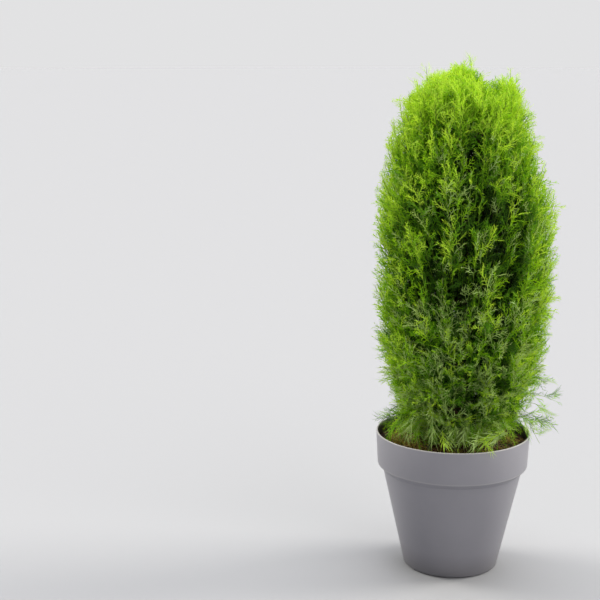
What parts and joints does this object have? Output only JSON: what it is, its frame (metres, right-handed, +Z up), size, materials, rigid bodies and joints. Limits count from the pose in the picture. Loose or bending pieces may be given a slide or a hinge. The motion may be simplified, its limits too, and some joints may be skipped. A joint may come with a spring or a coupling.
{
  "type": "potted thuja",
  "caption": "Conifer shrub with a dense egg-shaped column of upright flat green fan sprays on one trunk, growing in a round tapered pot with a collared rim.",
  "frame": {"origin": "centre of the flat underside of the pot, on the ground", "axes": "+Z up along the pot's axis and the trunk; -Y is the side that faces the viewer; +X to the viewer's right; 1 unit in the source is 1 mm"},
  "size_m": [0.3847, 0.3569, 1.0022],
  "materials": {
    "pot_plastic": "moulded grey polypropylene with a satin-matte surface",
    "compost": "moist dark brown bark compost",
    "bark": "reddish-brown fibrous bark, matt",
    "foliage": "fresh green scale foliage, slightly waxy"
  },
  "bodies": {
    "root": {"pot": "pot_plastic", "compost": "compost", "trunk": "bark", "bough_back": "bark", "bough_front": "bark", "bough_left": "bark", "bough_right": "bark", "foliage_skirt_1": "foliage", "foliage_skirt_2": "foliage", "foliage_skirt_3": "foliage", "foliage_skirt_4": "foliage", "foliage_skirt_5": "foliage", "foliage_skirt_6": "foliage", "foliage_low_1": "foliage", "foliage_low_2": "foliage", "foliage_low_3": "foliage", "foliage_low_4": "foliage", "foliage_low_5": "foliage", "foliage_low_6": "foliage", "foliage_middle_1": "foliage", "foliage_middle_2": "foliage", "foliage_middle_3": "foliage", "foliage_middle_4": "foliage", "foliage_middle_5": "foliage", "foliage_middle_6": "foliage", "foliage_upper_1": "foliage", "foliage_upper_2": "foliage", "foliage_upper_3": "foliage", "foliage_upper_4": "foliage", "foliage_upper_5": "foliage", "foliage_upper_6": "foliage", "foliage_shoulder_1": "foliage", "foliage_shoulder_2": "foliage", "foliage_shoulder_3": "foliage", "foliage_shoulder_4": "foliage", "foliage_shoulder_5": "foliage", "foliage_crest_1": "foliage", "foliage_crest_2": "foliage", "foliage_crest_3": "foliage", "foliage_crest_4": "foliage", "foliage_top_1": "foliage", "foliage_top_2": "foliage", "foliage_top_3": "foliage", "foliage_top_4": "foliage", "foliage_leader": "foliage"}
  },
  "joints": []
}
